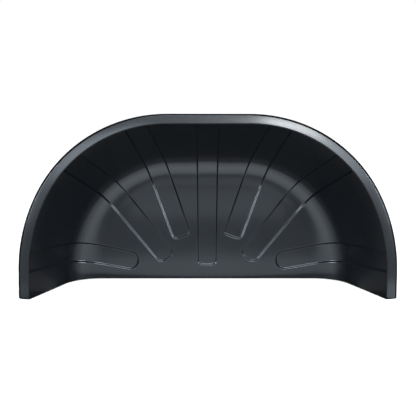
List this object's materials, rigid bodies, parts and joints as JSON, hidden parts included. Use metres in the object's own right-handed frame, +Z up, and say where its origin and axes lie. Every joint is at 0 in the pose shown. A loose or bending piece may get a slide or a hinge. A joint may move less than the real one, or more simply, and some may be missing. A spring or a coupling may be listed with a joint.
{
  "type": "wheel arch liner",
  "caption": "One-piece formed plastic liner for a wheel well, with an arched flared wall, a flat back wall, shallow fanned flutes and a rim flange round the open side.",
  "frame": {"origin": "on the level bottom edge, in the middle of the liner's width and depth", "axes": "+X to the right seen from the tyre, +Y from the rim towards the back wall, +Z up"},
  "size_m": [1, 0.2463, 0.489],
  "materials": {
    "liner_plastic": "satin black sheet with a fine formed grain"
  },
  "bodies": {
    "root": {"wheel_arch_liner": "liner_plastic"}
  },
  "joints": []
}
